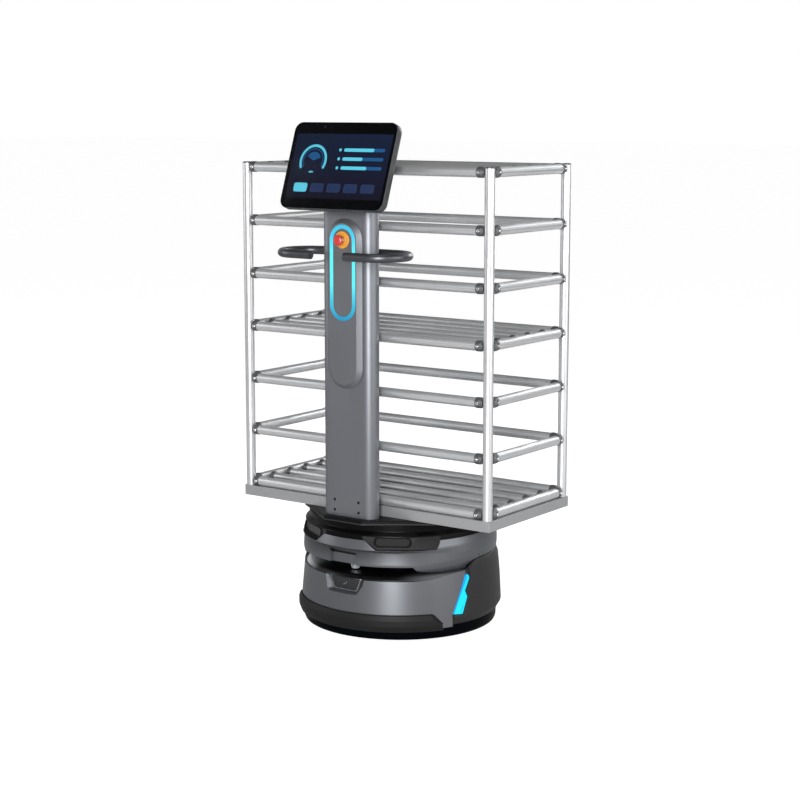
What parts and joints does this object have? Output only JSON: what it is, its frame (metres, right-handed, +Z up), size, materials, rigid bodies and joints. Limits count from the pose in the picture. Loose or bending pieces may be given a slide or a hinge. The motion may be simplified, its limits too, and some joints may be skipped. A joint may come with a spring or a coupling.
{
  "type": "autonomous mobile robot",
  "caption": "Round drive base with a scanner slot, a column with a tilted screen and a looped handlebar, and an open rack of aluminium tubes on a tray.",
  "frame": {"origin": "middle of the whole robot's footprint, on the floor", "axes": "+Z up; the screen and the scanner face -Y; +X is the viewer's right when facing the screen"},
  "size_m": [0.8156, 0.6099, 1.3681],
  "materials": {
    "shell_grey": "satin moulded",
    "column_grey": "satin grey coating",
    "charcoal": "fine moulded grain",
    "black": "matt moulded",
    "deck": "dark coating",
    "dark_glass": "polished",
    "panel_grey": "satin",
    "light": "lit diffuser",
    "tail_light": "lit diffuser",
    "battery_case": "anodised",
    "contact": "plated",
    "button": "smooth",
    "steel": "dark coating",
    "hub": "cast",
    "tyre": "matt rubber",
    "screw": "blackened",
    "stop_ring": "smooth",
    "stop_red": "smooth",
    "stop_rod": "turned",
    "handle": "gloss coating",
    "screen_glass": "polished",
    "display": "lit display",
    "tray": "satin coating",
    "tube": "brushed anodised",
    "link": "cast, satin"
  },
  "bodies": {
    "base": {"lower_shell": "shell_grey", "upper_shell": "shell_grey", "column": "column_grey", "control_pod": "column_grey", "side_shell_left": "charcoal", "side_shell_right": "charcoal", "rear_cover": "charcoal", "skirt": "black", "slot_liner": "black", "neck_cover": "black", "screen_back": "black", "column_foot": "black", "deck_plate": "deck", "base_plate": "deck", "camera_windows": "dark_glass", "sensor_panel": "panel_grey", "scanner_base": "panel_grey", "side_lenses": "light", "light_loop": "light", "tail_lenses": "tail_light", "battery": "battery_case", "controller": "battery_case", "charge_contacts": "contact", "drive_brackets": "steel", "castor_plates": "steel", "screen_mount": "steel", "handlebar_clamp": "steel", "column_screws": "screw", "stop_collar": "stop_ring", "handlebar": "handle", "handlebar_caps": "handle", "screen_glass": "screen_glass", "screen_panel": "display", "tray": "tray", "posts": "tube", "long_rails": "tube", "side_rails": "tube", "slats": "tube", "rail_links": "link", "post_caps": "link"},
    "bumper": {"bumper": "charcoal"},
    "scanner": {"scanner_head": "dark_glass"},
    "power_button": {"power_button": "button"},
    "stop_plunger": {"stop_stem": "stop_rod"},
    "stop_head": {"stop_head": "stop_red"},
    "screen_key": {"screen_key": "button"},
    "arm_left": {"swing_arm_left": "steel"},
    "wheel_left": {"drive_hub_left": "hub", "drive_tyre_left": "tyre"},
    "arm_right": {"swing_arm_right": "steel"},
    "wheel_right": {"drive_hub_right": "hub", "drive_tyre_right": "tyre"},
    "castor_front_left": {"castor_fork_front_left": "steel"},
    "castor_wheel_front_left": {"castor_wheel_front_left": "tyre"},
    "castor_front_right": {"castor_fork_front_right": "steel"},
    "castor_wheel_front_right": {"castor_wheel_front_right": "tyre"},
    "castor_rear_left": {"castor_fork_rear_left": "steel"},
    "castor_wheel_rear_left": {"castor_wheel_rear_left": "tyre"},
    "castor_rear_right": {"castor_fork_rear_right": "steel"},
    "castor_wheel_rear_right": {"castor_wheel_rear_right": "tyre"}
  },
  "joints": [
    {"name": "bumper_push", "type": "slide", "parent": "base", "child": "bumper", "axis": [0, 1, 0], "range_m": [0, 0.003], "stiffness_N_per_m": 3000, "springref_m": -0.002},
    {"name": "scanner_spin", "type": "hinge", "parent": "base", "child": "scanner", "pos_m": [0, -0.1788, 0.196], "axis": [0, 0, 1], "continuous": true},
    {"name": "power_press", "type": "slide", "parent": "base", "child": "power_button", "axis": [0, -1, 0], "range_m": [0, 0.0015], "stiffness_N_per_m": 600, "springref_m": -0.001},
    {"name": "stop_press", "type": "slide", "parent": "base", "child": "stop_plunger", "axis": [0, 1, 0], "range_m": [0, 0.004], "stiffness_N_per_m": 1500, "springref_m": -0.003},
    {"name": "stop_release_turn", "type": "hinge", "parent": "stop_plunger", "child": "stop_head", "pos_m": [0, -0.251, 1.067], "axis": [0, 1, 0], "range_deg": [0, 45], "stiffness_Nm_per_rad": 0.1, "springref_deg": -5.73},
    {"name": "screen_key_press", "type": "slide", "parent": "base", "child": "screen_key", "axis": [0, -0.3338, -0.9426], "range_m": [0, 0.0015], "stiffness_N_per_m": 600, "springref_m": -0.001},
    {"name": "arm_swing_left", "type": "hinge", "parent": "base", "child": "arm_left", "pos_m": [-0.149, -0.087, 0.1045], "axis": [1, 0, 0], "range_deg": [-3, 4], "stiffness_Nm_per_rad": 200, "springref_deg": -4.58},
    {"name": "wheel_roll_left", "type": "hinge", "parent": "arm_left", "child": "wheel_left", "pos_m": [-0.192, 0.025, 0.0825], "axis": [1, 0, 0], "continuous": true},
    {"name": "arm_swing_right", "type": "hinge", "parent": "base", "child": "arm_right", "pos_m": [0.149, -0.087, 0.1045], "axis": [1, 0, 0], "range_deg": [-3, 4], "stiffness_Nm_per_rad": 200, "springref_deg": -4.58},
    {"name": "wheel_roll_right", "type": "hinge", "parent": "arm_right", "child": "wheel_right", "pos_m": [0.192, 0.025, 0.0825], "axis": [1, 0, 0], "continuous": true},
    {"name": "castor_swivel_front_left", "type": "hinge", "parent": "base", "child": "castor_front_left", "pos_m": [-0.118, -0.125, 0.066], "axis": [0, 0, 1], "continuous": true},
    {"name": "castor_roll_front_left", "type": "hinge", "parent": "castor_front_left", "child": "castor_wheel_front_left", "pos_m": [-0.118, -0.105, 0.027], "axis": [1, 0, 0], "continuous": true},
    {"name": "castor_swivel_front_right", "type": "hinge", "parent": "base", "child": "castor_front_right", "pos_m": [0.118, -0.125, 0.066], "axis": [0, 0, 1], "continuous": true},
    {"name": "castor_roll_front_right", "type": "hinge", "parent": "castor_front_right", "child": "castor_wheel_front_right", "pos_m": [0.118, -0.105, 0.027], "axis": [1, 0, 0], "continuous": true},
    {"name": "castor_swivel_rear_left", "type": "hinge", "parent": "base", "child": "castor_rear_left", "pos_m": [-0.118, 0.175, 0.066], "axis": [0, 0, 1], "continuous": true},
    {"name": "castor_roll_rear_left", "type": "hinge", "parent": "castor_rear_left", "child": "castor_wheel_rear_left", "pos_m": [-0.118, 0.195, 0.027], "axis": [1, 0, 0], "continuous": true},
    {"name": "castor_swivel_rear_right", "type": "hinge", "parent": "base", "child": "castor_rear_right", "pos_m": [0.118, 0.175, 0.066], "axis": [0, 0, 1], "continuous": true},
    {"name": "castor_roll_rear_right", "type": "hinge", "parent": "castor_rear_right", "child": "castor_wheel_rear_right", "pos_m": [0.118, 0.195, 0.027], "axis": [1, 0, 0], "continuous": true}
  ]
}
